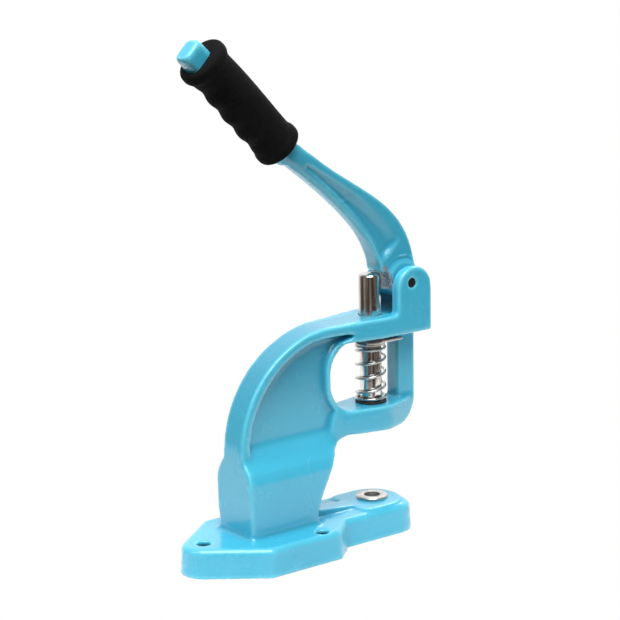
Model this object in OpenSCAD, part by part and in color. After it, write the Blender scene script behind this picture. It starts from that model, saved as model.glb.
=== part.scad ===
// Hand lever press for buttons, snaps and eyelets: a cast C-frame with a base, a sprung
// vertical ram and a handle lever whose cam pushes the ram down.
// Frame of reference: origin on the ram axis at the underside of the base, +Z up,
// +X towards the rounded tip of the base, the column stands at -X.

/* [Base] */
// Thickness of the base plate
base_h = 20.5; // [19:0.5:22]
// Half-width across the two wings
wing_half_w = 43; // [41:0.5:45]
// Half-width of the tongue that carries the die socket
tongue_half_w = 26.5; // [25:0.5:28]
// Distance from the ram axis back to the rear bolt hole
rear_hole_back = 150; // [148:0.5:152]
// Distance from the ram axis back to the two wing bolt holes
wing_hole_back = 72.5; // [71:0.5:74]
// Distance between the two wing bolt holes
wing_hole_span = 67; // [64:0.5:68]
// Diameter of the three bolt holes
bolt_hole_d = 9.5; // [8.5:0.5:10]

/* [Column and arms] */
// Radius of the curved back of the column
back_r = 81.5; // [80.5:0.5:82.5]
// Half-width of the foot of the column
foot_half_w = 20.8; // [20:0.2:22]
// Half-width of the curved rim round the back
rim_half_w = 11.6; // [11:0.2:12]
// Half-width of the strut and of the thin web inside the rim
web_half_w = 6.8; // [6:0.2:7]
// Half-width of the head that carries the ram and the lever
head_half_w = 19.6; // [19:0.2:20]
// Height of the lower arm's top face
lower_arm_top = 95; // [94:0.5:96]
// Height of the upper arm's top face
upper_arm_top = 161.2; // [161:0.2:162]

/* [Ram] */
// Diameter of the ram
ram_d = 16; // [15.8:0.1:16.2]
// Radial running clearance of the ram in its bushes
ram_play = 0.04; // [0.02:0.01:0.08]
// Diameter of the die bore in the lower end of the ram
ram_die_d = 10; // [8:0.5:10]
// Diameter of the die bore in the base socket
socket_die_d = 12; // [10:0.5:12]

/* [Return spring] */
// Diameter of the spring wire
wire_d = 2; // [1.6:0.1:2.1]
// Outside diameter of the spring
spring_d = 22.8; // [22:0.2:23.2]
// Number of working turns between the two closed end turns
spring_turns = 3.4; // [2.4:0.5:4.4]

/* [Lever] */
// Diameter of the pivot pin
pin_d = 7; // [6:0.5:7]
// Half-width of the lever's flanks
flank_half_w = 8.6; // [8:0.2:9]
// Length of the foam grip
grip_len = 92; // [88:1:96]
// Diameter of the grip's body
grip_d = 31; // [30:0.5:32]
// Diameter of the two collars at the grip's ends
collar_d = 34; // [33:0.5:35]

/* [Hidden] */
$fn = 64;
eps = 0.05;

enamel = [0.28, 0.70, 0.86];
steel = [0.72, 0.73, 0.75];
bronze = [0.70, 0.52, 0.28];
black = [0.08, 0.08, 0.09];

// Base plate
base_draft = 0.9;
base_edge = 2.6;
base_flat_h = base_h - base_edge;
sink = 2;
nose_x = -148.3;
nose_r = 18;
corner_r = 9;
wing_rear_x = -119;
wing_front_x = -65.5;
wing_y = wing_half_w - corner_r;
waist_x = -47;
tongue_tip = 24.6;
tip_corner_r = 18;
pad_r = 21.2;
pad_top = base_h + 1.7;
pad_back = -23;
pad_corner_r = 5;
rib_half_w = 7.5;
rib_top = base_h + 6;
rib_lap = 4;

// Column and arms
back_x = -42.5;
back_z = 77.6;
rim_t = 7.5;
foot_back = -123.3;
foot_front = -63.5;
foot_top = 60;
throat_bend = [-55.5, 51];
shoulder_top = 83.5;
lower_arm_bottom = 77.2;
upper_arm_bottom = 145.2;
strut_back = 20.3;
strut_front = 36.3;
strut_corner_r = 20;
boss_r = 19.5;
window_back = -44.5;
window_corner_r = 21;
collar_t = 4.5;
arm_root_x = -66;
lower_root_x = -58;
column_front = -30;
pocket_tip_x = -28;
pocket_tip_r = 1.6;
head_front = 42;
head_corner_r = 1;
ear_back = 11;
ear_t = 8.8;
ear_arch_r = (head_front - ear_back) / 2;
ear_arch_x = (head_front + ear_back) / 2;
ear_arch_z = 178.3;
ear_gap = head_half_w - ear_t;

// Ram and the pieces on it
ram_r = ram_d / 2;
ram_bottom = 78;
ram_top = 189.5;
ram_chamfer = 1;
ram_die_depth = 22;
bush_wall = 3;
bush_r = ram_r + bush_wall;
bush_lip = 3.2;
lip_r = ram_r + 0.4;
fork_z = 139.4;
fork_t = 1.8;
fork_r = 11;
fork_arm_half_w = 9.8;
fork_reach = 22.6;
ram_flat = ram_r - 1.2;
strut_play = 0.4;
fork_play = 0.05;
washer_t = 1.4;
washer_r = 11.4;
seat_t = 1.6;
buffer_gap = 0.3;

// Return spring
spring_z0 = lower_arm_top + seat_t + wire_d / 2 + eps;
spring_z1 = fork_z - washer_t - wire_d / 2 - eps;
spring_r = (spring_d - wire_d) / 2;
wire_sides = 8;
turn_steps = 20;
spring_start = 60;
closed_rise = wire_d + 0.15;

// Die socket and set screws
socket_flange_r = 11.6;
socket_flange_t = 2.2;
socket_body_r = 9;
socket_screw_r = 3;
socket_screw_len = 14;
ram_screw_r = 2.5;
ram_screw_up = 8;
pin_screw_r = 2;
pin_screw_len = 12;
screw_play = 0.05;

// Lever
pivot_x = 23.8;
pivot_z = 182.3;
hub_r = 12;
hub_half_w = 10.5;
hub_boss_r = 18.3;
lever_bush_r = 5.5;
pin_play = 0.05;
pin_recess = 0.3;
nose_x0 = 8.2;
nose_z0 = 194;
nose_arc_r = 4.2;
nose_end = [9.7, 189.7];
cam_foot = [10.2, 187.5];
bottom_root = [-74, 276.2];
top_root = [-66.6, 290.4];
grip_start = [-77.2, 0, 287.8];
grip_angle = 46.2;
bar_w = 19;
bar_t = 15;
bar_r = 5;
bar_tip = 12;
bar_lap = 10;
bar_step = 2;
pocket_depth = 2.6;
collar_len = 7;
collar_ease = 2;
collar_slope = 3;

// Points of an arc round (cx, cy) from angle a0 to a1
function arc(cx, cy, r, a0, a1, n = 16) =
    [for (i = [0:n]) let (a = a0 + (a1 - a0) * i / n) [cx + r * cos(a), cy + r * sin(a)]];

// Points of a cubic curve from p to s, steered by q and r
function curve(p, q, r, s, n = 20) =
    [for (i = [0:n]) let (t = i / n, u = 1 - t)
        u * u * u * p + 3 * u * u * t * q + 3 * u * t * t * r + t * t * t * s];

// Extrudes an X-Z outline to both sides of the middle plane
module side_plate(half_w) {
    rotate([90, 0, 0]) linear_extrude(2 * half_w, center = true) children();
}

// Straight cylinder along Y between two Y positions
module cross_cylinder(x, z, r, y0, y1) {
    translate([x, y1, z]) rotate([90, 0, 0]) cylinder(r = r, h = y1 - y0);
}

// Corner of the base plate with casting draft and a rounded-over top edge
module base_corner(x, y, r) {
    translate([x, y, 0]) {
        cylinder(r1 = r, r2 = r - base_draft, h = base_flat_h, $fn = 32);
        cylinder(r = r - base_draft - base_edge, h = base_h, $fn = 32);
    }
}

module base_plate() {
    hull() {
        base_corner(nose_x, 0, nose_r);
        for (s = [-1, 1]) {
            base_corner(wing_rear_x, s * wing_y, corner_r);
            base_corner(wing_front_x, s * wing_y, corner_r);
            base_corner(waist_x, s * (tongue_half_w - corner_r), corner_r);
        }
    }
    hull() {
        for (s = [-1, 1]) {
            base_corner(waist_x, s * (tongue_half_w - corner_r), corner_r);
            base_corner(tongue_tip - tip_corner_r, s * (tongue_half_w - tip_corner_r), tip_corner_r);
        }
    }
}

// Raised pad round the die socket, with a rib that climbs back to the column
module socket_pad() {
    inner = pad_r - pad_corner_r;
    linear_extrude(pad_top) polygon(concat(
        arc(0, 0, pad_r, -90, 90, 24),
        arc(pad_back + pad_corner_r, inner, pad_corner_r, 90, 180, 5),
        arc(pad_back + pad_corner_r, -inner, pad_corner_r, 180, 270, 5)));
    side_plate(rib_half_w) polygon([[foot_front - 1, base_h - sink], [foot_front - 1, rib_top],
        [pad_back + rib_lap, pad_top - eps], [pad_back + rib_lap, base_h - sink]]);
}

// Side outline of the column, both arms and the strut, without the window
module frame_outline() {
    polygon(concat(
        [[foot_front, base_h - sink], [foot_back, base_h - sink]],
        arc(back_x, back_z, back_r, 180, 90, 48),
        [[head_front, upper_arm_top],
         [head_front, upper_arm_bottom], [strut_front, upper_arm_bottom]],
        arc(strut_front - strut_corner_r, lower_arm_bottom + strut_corner_r, strut_corner_r, 0, -90, 16),
        curve([-24, lower_arm_bottom], [-41, lower_arm_bottom], [-47, 71], throat_bend, 16),
        curve(throat_bend, [-60, 42.5], [foot_front, 37.5], [foot_front, 26], 10)));
}

// Outline of the window between the column, the arms and the strut
module window_outline() {
    r = window_corner_r;
    left = window_back + r;
    polygon(concat(
        [[strut_back, lower_arm_top], [strut_back, upper_arm_bottom]],
        arc(left, upper_arm_bottom - r, r, 90, 180, 16),
        arc(left, lower_arm_top + r, r, 180, 270, 16)));
}

// Cross-section of the foot and its sloping shoulders, extruded along X
module foot_section() {
    w = foot_half_w;
    half = [[w, base_h - sink], [w, foot_top], [w - 2.5, foot_top + 7], [w - 8, foot_top + 14],
            [web_half_w, shoulder_top]];
    mirrored = [for (i = [len(half) - 1:-1:0]) [-half[i][0], half[i][1]]];
    translate([foot_back - sink, 0, 0]) rotate([90, 0, 90])
        linear_extrude(column_front - foot_back) polygon(concat(half, mirrored));
}

// Clears the rim's width above the sloping shoulders, from the rim forward to the window
module shoulder_cut() {
    slope = (shoulder_top - foot_top - 14) / (foot_half_w - 8 - web_half_w);
    out = rim_half_w + 1;
    for (s = [0, 1]) mirror([0, s, 0]) translate([back_x - back_r + rim_t + 0.1, 0, 0])
        rotate([90, 0, 90]) linear_extrude(window_back - 1 - back_x + back_r - rim_t - 0.1)
            polygon([[web_half_w + eps, shoulder_top + eps], [out, shoulder_top + eps],
                     [out, shoulder_top - slope * (out - web_half_w) + eps]]);
}

// Plan outline of the column and upper arm: the rim's width, widening into the head
module upper_arm_plan() {
    w = head_half_w;
    lean = asin((w - rim_half_w) / -arm_root_x);
    polygon(concat(
        [[foot_back - sink, rim_half_w], [foot_back - sink, -rim_half_w], [arm_root_x, -rim_half_w]],
        arc(0, 0, w, -90 - lean, -90, 4),
        arc(head_front - head_corner_r, -w + head_corner_r, head_corner_r, -90, 0, 4),
        arc(head_front - head_corner_r, w - head_corner_r, head_corner_r, 0, 90, 4),
        arc(0, 0, w, 90, 90 + lean, 4),
        [[arm_root_x, rim_half_w]]));
}

// Plan outline of the lower arm, a boss round the ram between the web and the strut
module lower_arm_plan() {
    back_lean = asin((boss_r - web_half_w) / -lower_root_x);
    front_lean = asin((boss_r - web_half_w) / strut_front);
    polygon(concat(
        [[lower_root_x, web_half_w], [lower_root_x, -web_half_w]],
        arc(0, 0, boss_r, -90 - back_lean, -90 + front_lean, 12),
        [[strut_front, -web_half_w], [strut_front, web_half_w]],
        arc(0, 0, boss_r, 90 - front_lean, 90 + back_lean, 12)));
}

// Recess in each side of the column, between the back rim and the window's collar
module side_pocket() {
    r = window_corner_r + collar_t;
    left = window_back - collar_t + r;
    collar_top = upper_arm_bottom + collar_t;
    rim_r = back_r - rim_t;
    rim_a = 180 - asin((shoulder_top - back_z) / rim_r);
    polygon(concat(
        arc(back_x, back_z, rim_r, rim_a, 90, 48),
        arc(pocket_tip_x, back_z + rim_r - pocket_tip_r, pocket_tip_r, 90, -90, 6),
        arc(left, collar_top - r, r, 100, 180, 12),
        arc(left, lower_arm_top - collar_t + r, r, 180, 225, 6),
        [[window_back - 1, shoulder_top]]));
}

// Column, upper arm and lower arm, cut to the side outline
module arms() {
    intersection() {
        side_plate(head_half_w + 1) frame_outline();
        union() {
            translate([foot_back - sink, -rim_half_w, foot_top])
                cube([column_front - foot_back, 2 * rim_half_w, upper_arm_top - foot_top]);
            translate([0, 0, upper_arm_bottom])
                linear_extrude(upper_arm_top - upper_arm_bottom) upper_arm_plan();
            translate([0, 0, lower_arm_bottom])
                linear_extrude(lower_arm_top - lower_arm_bottom) lower_arm_plan();
        }
    }
}

// The two ears that hold the pivot pin
module ears() {
    for (y = [-ear_gap - ear_t / 2, ear_gap + ear_t / 2])
        translate([0, y, 0]) side_plate(ear_t / 2) polygon(concat(
            [[ear_back, upper_arm_bottom], [head_front, upper_arm_bottom]],
            arc(ear_arch_x, ear_arch_z, ear_arch_r, 0, 180, 24)));
}

// Bore through an arm for its guide bush, with a smaller lip at the top
module bush_bore(bottom, top) {
    translate([0, 0, bottom - 1]) cylinder(r = bush_r, h = top - bottom - bush_lip + 1);
    translate([0, 0, bottom]) cylinder(r = lip_r, h = top - bottom + 1);
}

// The three bolt holes of the base
module bolt_holes() {
    for (p = [[-rear_hole_back, 0], [-wing_hole_back, -wing_hole_span / 2],
              [-wing_hole_back, wing_hole_span / 2]])
        translate([p[0], p[1], -1]) cylinder(d = bolt_hole_d, h = base_h + 2);
}

module frame_casting() {
    color(enamel) difference() {
        union() {
            base_plate();
            socket_pad();
            side_plate(web_half_w) frame_outline();
            intersection() {
                side_plate(foot_half_w + 1) frame_outline();
                foot_section();
            }
            arms();
            ears();
        }
        side_plate(head_half_w + 5) window_outline();
        for (s = [-1, 1]) translate([0, s * (web_half_w + head_half_w), 0])
            side_plate(head_half_w) side_pocket();
        shoulder_cut();
        bolt_holes();
        translate([0, 0, -1]) cylinder(r = socket_body_r, h = pad_top + 2);
        translate([socket_body_r - 1, 0, base_h / 2])
            rotate([0, 90, 0]) cylinder(r = socket_screw_r, h = tongue_tip);
        bush_bore(lower_arm_bottom, lower_arm_top);
        bush_bore(upper_arm_bottom, upper_arm_top);
        cross_cylinder(pivot_x, pivot_z, pin_d / 2, -head_half_w - 1, head_half_w + 1);
        translate([pivot_x, ear_gap + ear_t / 2, pivot_z])
            rotate([0, 90, 0]) cylinder(r = pin_screw_r, h = head_front);
    }
}

// Flanged bush that takes the lower die
module die_socket() {
    edge = 0.6;
    color(steel) difference() {
        union() {
            cylinder(r = socket_body_r, h = pad_top);
            translate([0, 0, pad_top]) {
                cylinder(r = socket_flange_r, h = socket_flange_t - edge);
                translate([0, 0, socket_flange_t - edge])
                    cylinder(r1 = socket_flange_r, r2 = socket_flange_r - edge, h = edge);
            }
        }
        translate([0, 0, -1]) cylinder(d = socket_die_d, h = pad_top + socket_flange_t + 2);
        translate([0, 0, base_h / 2])
            rotate([0, 90, 0]) cylinder(r = socket_screw_r, h = socket_body_r + 1);
    }
}

// Headless set screw along +Z with a hexagon socket in its outer end
module set_screw(r, length, key) {
    point_h = r * 0.4;
    key_depth = length * 0.45;
    difference() {
        union() {
            cylinder(r1 = r - point_h, r2 = r, h = point_h);
            translate([0, 0, point_h]) cylinder(r = r, h = length - point_h);
        }
        translate([0, 0, length - key_depth]) cylinder(d = key, h = length, $fn = 6);
    }
}

module die_socket_screw() {
    color(black) translate([socket_die_d / 2 + 0.4, 0, base_h / 2])
        rotate([0, 90, 0]) set_screw(socket_screw_r - screw_play, socket_screw_len, socket_screw_r);
}

module lower_guide_bush() {
    color(bronze) translate([0, 0, lower_arm_bottom])
        flat_ring(ram_r + ram_play, bush_r, lower_arm_top - lower_arm_bottom - bush_lip);
}

module upper_guide_bush() {
    color(bronze) translate([0, 0, upper_arm_bottom])
        flat_ring(ram_r + ram_play, bush_r, upper_arm_top - upper_arm_bottom - bush_lip);
}

// Plain ring standing on the XY plane
module flat_ring(r_in, r_out, h) {
    difference() {
        cylinder(r = r_out, h = h);
        translate([0, 0, -1]) cylinder(r = r_in, h = h + 2);
    }
}

module spring_seat_washer() {
    color(black) translate([0, 0, lower_arm_top]) flat_ring(lip_r, washer_r, seat_t);
}

module spring_top_washer() {
    color(steel) translate([0, 0, fork_z - washer_t]) flat_ring(lip_r, washer_r - 0.6, washer_t);
}

module stop_buffer() {
    color(black) translate([0, 0, fork_z + fork_t])
        flat_ring(lip_r, washer_r, upper_arm_bottom - fork_z - fork_t - buffer_gap);
}

module pivot_pin() {
    chamfer = 0.6;
    half = head_half_w - pin_recess;
    color(black) translate([pivot_x, 0, pivot_z]) rotate([90, 0, 0]) {
        cylinder(d = pin_d, h = 2 * (half - chamfer), center = true);
        for (s = [0, 1]) mirror([0, 0, s]) translate([0, 0, half - chamfer])
            cylinder(d1 = pin_d, d2 = pin_d - 2 * chamfer, h = chamfer);
    }
}

module pin_set_screw() {
    color(black) translate([pivot_x + pin_d / 2, ear_gap + ear_t / 2, pivot_z])
        rotate([0, 90, 0]) set_screw(pin_screw_r - screw_play, pin_screw_len, pin_screw_r);
}

module ram() {
    color(steel) difference() {
        union() {
            translate([0, 0, ram_bottom]) cylinder(r1 = ram_r - ram_chamfer, r2 = ram_r, h = ram_chamfer);
            translate([0, 0, ram_bottom + ram_chamfer])
                cylinder(r = ram_r, h = ram_top - ram_bottom - 2 * ram_chamfer);
            translate([0, 0, ram_top - ram_chamfer])
                cylinder(r1 = ram_r, r2 = ram_r - ram_chamfer, h = ram_chamfer);
        }
        translate([0, 0, ram_bottom - 1]) cylinder(d = ram_die_d, h = ram_die_depth + 1);
        translate([0, 0, ram_bottom + ram_screw_up])
            rotate([90, 0, 0]) cylinder(r = ram_screw_r, h = ram_r + 1);
        for (s = [-1, 1]) translate([-ram_r - 1, s > 0 ? ram_flat : -ram_r - 1, fork_z])
            cube([2 * ram_r + 2, ram_r + 1 - ram_flat, fork_t]);
    }
}

module ram_die_screw() {
    color(black) translate([0, -ram_die_d / 2 - 0.1, ram_bottom + ram_screw_up])
        rotate([90, 0, 0]) set_screw(ram_screw_r - screw_play, ram_r - ram_die_d / 2 - 0.5, ram_screw_r);
}

// Flat plate that hooks into the ram's two flats and straddles the strut
module guide_fork() {
    slot = ram_flat + fork_play;
    color(steel) translate([0, 0, fork_z]) linear_extrude(fork_t) difference() {
        union() {
            circle(r = fork_r);
            translate([0, -fork_arm_half_w]) square([fork_reach, 2 * fork_arm_half_w]);
        }
        translate([-fork_r - 1, -slot]) square([fork_r + 1, 2 * slot]);
        intersection() {
            circle(r = ram_r + fork_play);
            translate([-fork_r, -slot]) square([2 * fork_r, 2 * slot]);
        }
        translate([strut_back - strut_play, -web_half_w - strut_play])
            square([fork_reach, 2 * (web_half_w + strut_play)]);
    }
}

// Height of the wire's centre after a number of turns; the end turns lie almost closed
function spring_z(turn) =
    let (rise = (spring_z1 - spring_z0 - 2 * closed_rise) / spring_turns)
    spring_z0 + closed_rise * (min(turn, 1) + max(turn - spring_turns - 1, 0))
        + rise * min(max(turn - 1, 0), spring_turns);

// One cross-section of the wire, at step i of the helix
function spring_ring(i) =
    let (a = spring_start + 360 * i / turn_steps, z = spring_z(i / turn_steps))
    [for (j = [0:wire_sides - 1]) let (b = 360 * j / wire_sides, r = spring_r + wire_d / 2 * cos(b))
        [r * cos(a), r * sin(a), z + wire_d / 2 * sin(b)]];

// Compression spring: a round wire swept along a helix
module return_spring() {
    n = turn_steps * (spring_turns + 2);
    m = wire_sides;
    points = [for (i = [0:n]) each spring_ring(i)];
    sides = [for (i = [0:n - 1], j = [0:m - 1])
        [i * m + j, i * m + (j + 1) % m, (i + 1) * m + (j + 1) % m, (i + 1) * m + j]];
    ends = [[for (j = [m - 1:-1:0]) j], [for (j = [0:m - 1]) n * m + j]];
    color(steel) polyhedron(points, concat(sides, ends));
}

// Side outline of the lever: the cam nose over the ram, the hub and the curved shank
module lever_outline() {
    polygon(concat(
        curve(bottom_root, [-39.8, 252.4], [3, 216], [nose_x0 - nose_arc_r, nose_z0], 36),
        arc(nose_x0, nose_z0, nose_arc_r, 180, 272, 8),
        [nose_end, cam_foot],
        arc(pivot_x, pivot_z, hub_r, 180, 360, 24),
        curve([pivot_x + hub_r, pivot_z + 4], [31.8, 246.1], [-22, 249.8], top_root, 36)));
}

// Shallow recess in each flank of the shank
module lever_pocket() {
    polygon(concat(
        curve([-57.5, 270.8], [-30, 250.5], [-1.5, 225.5], [5.9, 199.8], 24),
        curve([19, 215.5], [4, 232.5], [-20, 250.5], [-58, 273], 24)));
}

// Places children on the grip's axis, +Z pointing to the lever's free end
module on_grip_axis() {
    translate(grip_start) rotate([0, -grip_angle, 0]) children();
}

// Rounded section of the bar inside the grip, grown by g
module bar_section(g = 0) {
    for (x = [-1, 1], y = [-1, 1])
        translate([x * (bar_w / 2 - bar_r), y * (bar_t / 2 - bar_r)]) circle(r = bar_r + g);
    square([bar_w + 2 * g, bar_t - 2 * bar_r], center = true);
    square([bar_w - 2 * bar_r, bar_t + 2 * g], center = true);
}

module lever_casting() {
    color(enamel) difference() {
        union() {
            difference() {
                side_plate(flank_half_w) lever_outline();
                for (s = [-1, 1]) translate([0, s * flank_half_w, 0])
                    side_plate(pocket_depth) lever_pocket();
            }
            intersection() {
                side_plate(hub_half_w) lever_outline();
                cross_cylinder(pivot_x, pivot_z, hub_boss_r, -hub_half_w, hub_half_w);
            }
            on_grip_axis() translate([0, 0, -bar_lap])
                linear_extrude(grip_len + bar_tip + bar_lap - bar_step) bar_section();
            on_grip_axis() translate([0, 0, grip_len + bar_tip - bar_step])
                linear_extrude(bar_step) bar_section(-1);
        }
        cross_cylinder(pivot_x, pivot_z, lever_bush_r, -hub_half_w - 1, hub_half_w + 1);
    }
}

module lever_bush() {
    color(bronze) difference() {
        cross_cylinder(pivot_x, pivot_z, lever_bush_r, -hub_half_w, hub_half_w);
        cross_cylinder(pivot_x, pivot_z, pin_d / 2 + pin_play, -hub_half_w - 1, hub_half_w + 1);
    }
}

module foam_grip() {
    c = collar_d / 2;
    body = grip_d / 2;
    slope_end = collar_len + collar_slope;
    color(black) on_grip_axis() difference() {
        rotate_extrude() polygon([[0, 0], [c - collar_ease, 0], [c, collar_ease], [c, collar_len],
            [body, slope_end], [body, grip_len - slope_end], [c, grip_len - collar_len],
            [c, grip_len - collar_ease], [c - collar_ease, grip_len], [0, grip_len]]);
        translate([0, 0, -1]) linear_extrude(grip_len + 2) bar_section();
    }
}

frame_casting();
die_socket();
die_socket_screw();
lower_guide_bush();
upper_guide_bush();
spring_seat_washer();
pivot_pin();
pin_set_screw();
ram();
ram_die_screw();
guide_fork();
spring_top_washer();
stop_buffer();
return_spring();
lever_casting();
lever_bush();
foam_grip();
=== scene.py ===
import math
import bmesh
import bpy
import numpy as np
from mathutils import Matrix, Vector


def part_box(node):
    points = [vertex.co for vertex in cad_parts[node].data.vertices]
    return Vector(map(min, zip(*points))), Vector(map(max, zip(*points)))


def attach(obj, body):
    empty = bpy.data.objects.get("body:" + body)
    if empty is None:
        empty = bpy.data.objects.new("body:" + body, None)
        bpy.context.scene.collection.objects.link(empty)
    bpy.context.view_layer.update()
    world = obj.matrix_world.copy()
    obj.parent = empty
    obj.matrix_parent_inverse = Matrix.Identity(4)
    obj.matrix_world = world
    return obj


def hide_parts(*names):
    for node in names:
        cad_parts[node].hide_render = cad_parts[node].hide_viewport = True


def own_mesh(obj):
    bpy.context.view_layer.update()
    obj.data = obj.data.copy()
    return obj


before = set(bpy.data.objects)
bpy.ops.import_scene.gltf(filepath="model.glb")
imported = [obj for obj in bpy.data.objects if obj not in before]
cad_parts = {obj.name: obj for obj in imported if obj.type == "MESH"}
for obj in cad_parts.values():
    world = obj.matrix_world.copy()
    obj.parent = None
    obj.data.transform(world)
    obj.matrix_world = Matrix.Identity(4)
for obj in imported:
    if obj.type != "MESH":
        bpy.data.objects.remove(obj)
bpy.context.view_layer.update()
print("frame loaded:", len(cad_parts), "parts")


def deselectAll():
    if bpy.context.object and bpy.context.object.mode != "OBJECT":
        bpy.ops.object.mode_set(mode="OBJECT")
    bpy.ops.object.select_all(action="DESELECT")


def pick(piece):
    deselectAll()
    piece.select_set(True)
    bpy.context.view_layer.objects.active = piece


def applyModifier(piece, kind, **settings):
    pick(piece)
    modifier = piece.modifiers.new(kind.lower(), kind)
    for name, value in settings.items():
        setattr(modifier, name, value)
    bpy.ops.object.modifier_apply(modifier=modifier.name)


# A part's own shape as a new piece, with its loose triangles merged first
def copyPart(node, pieceName):
    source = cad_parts[node]
    piece = bpy.data.objects.new(pieceName, source.data.copy())
    bpy.context.scene.collection.objects.link(piece)
    piece.data.name = pieceName
    pick(piece)
    bpy.ops.object.mode_set(mode="EDIT")
    bpy.ops.mesh.select_all(action="SELECT")
    bpy.ops.mesh.remove_doubles(threshold=0.00001)
    bpy.ops.mesh.normals_make_consistent(inside=False)
    bpy.ops.object.mode_set(mode="OBJECT")
    piece.data.materials.clear()
    return piece


# Gives each vertex a weight from 0 to 1, worked out from its place
def weigh(piece, groupName, weightOf):
    group = piece.vertex_groups.new(name=groupName)
    for vertex in piece.data.vertices:
        weight = weightOf(vertex.co)
        if weight > 0.01:
            group.add([vertex.index], min(weight, 1.0), "REPLACE")


# 0 below low, 1 above high, and smooth between
def ramp(value, low, high):
    share = max(0.0, min(1.0, (value - low) / (high - low)))
    return share * share * (3 - 2 * share)


# Rises from start to full and falls from fade to end
def band(value, start, full, fade, end):
    return ramp(value, start, full) * (1 - ramp(value, fade, end))


def smoothGroup(piece, groupName, rounds):
    applyModifier(piece, "SMOOTH", factor=0.5, iterations=rounds, vertex_group=groupName)


def remesh(piece, voxel):
    applyModifier(piece, "REMESH", mode="VOXEL", voxel_size=voxel, use_smooth_shade=True)


# The piece takes its material, rides on its body and stands for its CAD parts
def fit(piece, body, material, slotName, *stoodFor):
    if material and not piece.data.materials:
        piece.data.materials.append(material)
    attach(piece, body)
    if stoodFor:
        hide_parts(*stoodFor)


def middle(node):
    low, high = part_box(node)
    return (low + high) / 2


# Merges the flat triangles and rounds the edges, for machined and moulded pieces
def easeEdges(piece, width, segments=2):
    pick(piece)
    bpy.ops.object.mode_set(mode="EDIT")
    bpy.ops.mesh.select_all(action="SELECT")
    bpy.ops.mesh.dissolve_limited(angle_limit=math.radians(0.6))
    bpy.ops.object.mode_set(mode="OBJECT")
    applyModifier(piece, "BEVEL", width=width, segments=segments, limit_method="ANGLE",
                  angle_limit=math.radians(32), harden_normals=False)
    pick(piece)
    bpy.ops.object.shade_smooth_by_angle(angle=math.radians(38))


cameraSettings = {
    "lens": 114.45,
    "place": Vector((-0.8752, -1.0728, 0.4706)),
    "target": Vector((-0.03416, 0.02615, 0.16355)),
    "roll": math.radians(-1.02),
    "farthest": 50,
}

cameraData = bpy.data.cameras.new("camera")
camera = bpy.data.objects.new("camera", cameraData)
bpy.context.scene.collection.objects.link(camera)
cameraData.lens = cameraSettings["lens"]
cameraData.clip_end = cameraSettings["farthest"]
forward = (cameraSettings["target"] - cameraSettings["place"]).normalized()
level = forward.cross(Vector((0, 0, 1))).normalized()
upright = level.cross(forward)
roll = cameraSettings["roll"]
right = level * math.cos(roll) + upright * math.sin(roll)
up = right.cross(forward)
camera.matrix_world = Matrix.Translation(cameraSettings["place"]) @ Matrix((
    right, up, -forward)).transposed().to_4x4()
bpy.context.scene.camera = camera
bpy.context.scene.view_settings.view_transform = "Standard"
print("camera set")


def newGroup(name, inputs, outputs):
    group = bpy.data.node_groups.new(name, "ShaderNodeTree")
    for label, kind, value in inputs:
        socket = group.interface.new_socket(label, in_out="INPUT", socket_type=kind)
        socket.default_value = value
    for label, kind in outputs:
        group.interface.new_socket(label, in_out="OUTPUT", socket_type=kind)
    return group, group.nodes.new("NodeGroupInput"), group.nodes.new("NodeGroupOutput")


def addNode(tree, kind, values=(), **settings):
    node = tree.nodes.new(kind)
    for name, value in settings.items():
        setattr(node, name, value)
    for name, value in dict(values).items():
        for socket in node.inputs:
            if socket.name == name and socket.enabled:
                socket.default_value = value
    return node


finishOutputs = [
    ("Color", "NodeSocketColor"),
    ("Roughness", "NodeSocketFloat"),
    ("Normal", "NodeSocketVector"),
]


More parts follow.
